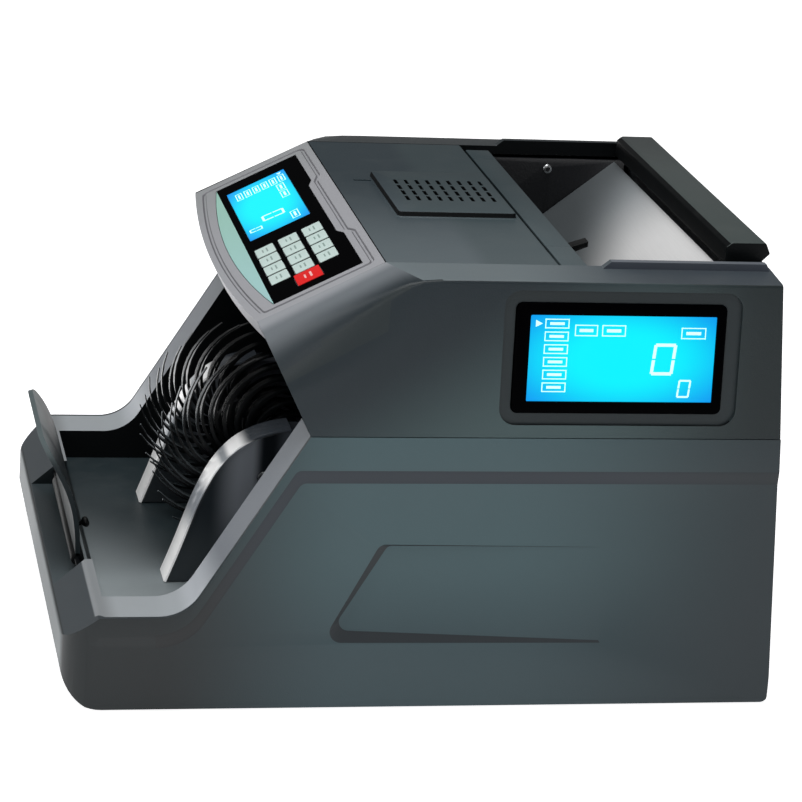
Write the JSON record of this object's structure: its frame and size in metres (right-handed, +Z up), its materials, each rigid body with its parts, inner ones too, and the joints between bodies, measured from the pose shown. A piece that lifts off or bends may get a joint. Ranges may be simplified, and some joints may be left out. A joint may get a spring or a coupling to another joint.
{
  "type": "banknote counter",
  "caption": "Desktop banknote counter with a rear hopper, sloped key fascia, side display, vented cover and front note tray.",
  "frame": {"origin": "middle of the machine's outline, on the surface that it stands on", "axes": "+Z up, +Y towards the hopper, -Y towards the note tray, +X towards the side display"},
  "size_m": [0.29, 0.3517, 0.224],
  "materials": {
    "housing": "semi-gloss dark slate",
    "upper": "semi-gloss dark slate",
    "fascia": "satin light grey",
    "panel": "gloss black",
    "key": "matt pale mint",
    "red": "matt red",
    "screen": "lit blue-cyan",
    "cover": "matt slate",
    "bar": "semi-gloss near-black",
    "satin": "satin",
    "steel": "brushed",
    "frame": "matt black",
    "rubber": "matt",
    "fan": "gloss black",
    "guide": "satin grey",
    "polished": "polished",
    "board": "matt green",
    "plastic": "matt black",
    "stopper": "smoked"
  },
  "bodies": {
    "body": {"lower_housing": "housing", "base_plate": "steel", "foot_front_left": "rubber", "foot_front_right": "rubber", "foot_rear_left": "rubber", "foot_rear_right": "rubber", "upper_housing": "upper", "fascia": "fascia", "keypad_panel": "panel", "front_display": "screen", "side_bezel": "panel", "side_display": "screen", "hopper_strip": "cover", "hopper_plate": "satin", "rear_bar": "bar", "hopper_sensor": "plastic", "frame_left": "frame", "frame_right": "frame", "retard_bracket": "plastic", "retard_roller": "rubber", "main_motor": "steel", "guide_left": "guide", "guide_right": "guide", "guide_strip_left": "polished", "guide_strip_right": "polished", "stopper_pin": "steel", "main_board": "board", "power_supply": "steel", "power_inlet": "plastic", "drive_belt": "rubber", "stacker_belt": "rubber"},
    "feed_rollers": {"feed_shaft": "steel", "feed_roller_left": "rubber", "feed_roller_right": "rubber", "feed_pulley": "plastic"},
    "pickup_rollers": {"pickup_shaft": "steel", "pickup_roller_left": "rubber", "pickup_roller_right": "rubber"},
    "transport": {"transport_roller": "rubber"},
    "stacker": {"stacker_shaft": "steel", "fan_wheel_left": "fan", "fan_wheel_right": "fan"},
    "motor_rotor": {"motor_pulley": "steel"},
    "cover": {"top_cover": "cover"},
    "front_stopper": {"stopper": "stopper"},
    "gap_adjuster": {"gap_knob": "plastic"},
    "rocker": {"power_rocker": "plastic"},
    "key_01": {"key_01": "key"},
    "key_02": {"key_02": "key"},
    "key_03": {"key_03": "key"},
    "key_04": {"key_04": "key"},
    "key_05": {"key_05": "key"},
    "key_06": {"key_06": "key"},
    "key_07": {"key_07": "key"},
    "key_08": {"key_08": "key"},
    "key_09": {"key_09": "key"},
    "key_10": {"key_10": "key"},
    "key_11": {"key_11": "key"},
    "key_12": {"key_12": "key"},
    "start_key": {"start_key": "red"}
  },
  "joints": [
    {"name": "feed_turn", "type": "hinge", "parent": "body", "child": "feed_rollers", "pos_m": [0, 0.07702, 0.12545], "axis": [1, 0, 0], "continuous": true},
    {"name": "pickup_turn", "type": "hinge", "parent": "body", "child": "pickup_rollers", "pos_m": [0, 0.10494, 0.15771], "axis": [1, 0, 0], "continuous": true},
    {"name": "transport_turn", "type": "hinge", "parent": "body", "child": "transport", "pos_m": [0, 0.0125, 0.095], "axis": [1, 0, 0], "continuous": true},
    {"name": "stacker_turn", "type": "hinge", "parent": "body", "child": "stacker", "pos_m": [0, -0.0675, 0.088], "axis": [1, 0, 0], "continuous": true},
    {"name": "motor_turn", "type": "hinge", "parent": "body", "child": "motor_rotor", "pos_m": [0, 0.1175, 0.06], "axis": [1, 0, 0], "continuous": true},
    {"name": "cover_lift", "type": "hinge", "parent": "body", "child": "cover", "pos_m": [0, 0.0568, 0.2125], "axis": [-1, 0, 0], "range_deg": [0, 70]},
    {"name": "stopper_tilt", "type": "hinge", "parent": "body", "child": "front_stopper", "pos_m": [0, -0.1565, 0.0425], "axis": [1, 0, 0], "range_deg": [-18, 55]},
    {"name": "gap_turn", "type": "hinge", "parent": "body", "child": "gap_adjuster", "pos_m": [0, 0.0545, 0.1863], "axis": [0, 0, 1], "range_deg": [-180, 180]},
    {"name": "rocker_tilt", "type": "hinge", "parent": "body", "child": "rocker", "pos_m": [0.091, 0.168, 0.044], "axis": [1, 0, 0], "range_deg": [0, 10]},
    {"name": "key_01_press", "type": "slide", "parent": "body", "child": "key_01", "axis": [0, 0.4563, -0.8898], "range_m": [0, 0.0005], "stiffness_N_per_m": 1500, "springref_m": -0.0003},
    {"name": "key_02_press", "type": "slide", "parent": "body", "child": "key_02", "axis": [0, 0.4563, -0.8898], "range_m": [0, 0.0005], "stiffness_N_per_m": 1500, "springref_m": -0.0003},
    {"name": "key_03_press", "type": "slide", "parent": "body", "child": "key_03", "axis": [0, 0.4563, -0.8898], "range_m": [0, 0.0005], "stiffness_N_per_m": 1500, "springref_m": -0.0003},
    {"name": "key_04_press", "type": "slide", "parent": "body", "child": "key_04", "axis": [0, 0.4563, -0.8898], "range_m": [0, 0.0005], "stiffness_N_per_m": 1500, "springref_m": -0.0003},
    {"name": "key_05_press", "type": "slide", "parent": "body", "child": "key_05", "axis": [0, 0.4563, -0.8898], "range_m": [0, 0.0005], "stiffness_N_per_m": 1500, "springref_m": -0.0003},
    {"name": "key_06_press", "type": "slide", "parent": "body", "child": "key_06", "axis": [0, 0.4563, -0.8898], "range_m": [0, 0.0005], "stiffness_N_per_m": 1500, "springref_m": -0.0003},
    {"name": "key_07_press", "type": "slide", "parent": "body", "child": "key_07", "axis": [0, 0.4563, -0.8898], "range_m": [0, 0.0005], "stiffness_N_per_m": 1500, "springref_m": -0.0003},
    {"name": "key_08_press", "type": "slide", "parent": "body", "child": "key_08", "axis": [0, 0.4563, -0.8898], "range_m": [0, 0.0005], "stiffness_N_per_m": 1500, "springref_m": -0.0003},
    {"name": "key_09_press", "type": "slide", "parent": "body", "child": "key_09", "axis": [0, 0.4563, -0.8898], "range_m": [0, 0.0005], "stiffness_N_per_m": 1500, "springref_m": -0.0003},
    {"name": "key_10_press", "type": "slide", "parent": "body", "child": "key_10", "axis": [0, 0.4563, -0.8898], "range_m": [0, 0.0005], "stiffness_N_per_m": 1500, "springref_m": -0.0003},
    {"name": "key_11_press", "type": "slide", "parent": "body", "child": "key_11", "axis": [0, 0.4563, -0.8898], "range_m": [0, 0.0005], "stiffness_N_per_m": 1500, "springref_m": -0.0003},
    {"name": "key_12_press", "type": "slide", "parent": "body", "child": "key_12", "axis": [0, 0.4563, -0.8898], "range_m": [0, 0.0005], "stiffness_N_per_m": 1500, "springref_m": -0.0003},
    {"name": "start_key_press", "type": "slide", "parent": "body", "child": "start_key", "axis": [0, 0.4563, -0.8898], "range_m": [0, 0.0005], "stiffness_N_per_m": 1500, "springref_m": -0.0003}
  ],
  "couplings": [
    {"joint": "pickup_turn", "follows": "feed_turn", "ratio": 1.375},
    {"joint": "transport_turn", "follows": "feed_turn", "ratio": 1.5714},
    {"joint": "stacker_turn", "follows": "feed_turn", "ratio": 1.5714},
    {"joint": "motor_turn", "follows": "feed_turn", "ratio": 2.25}
  ]
}
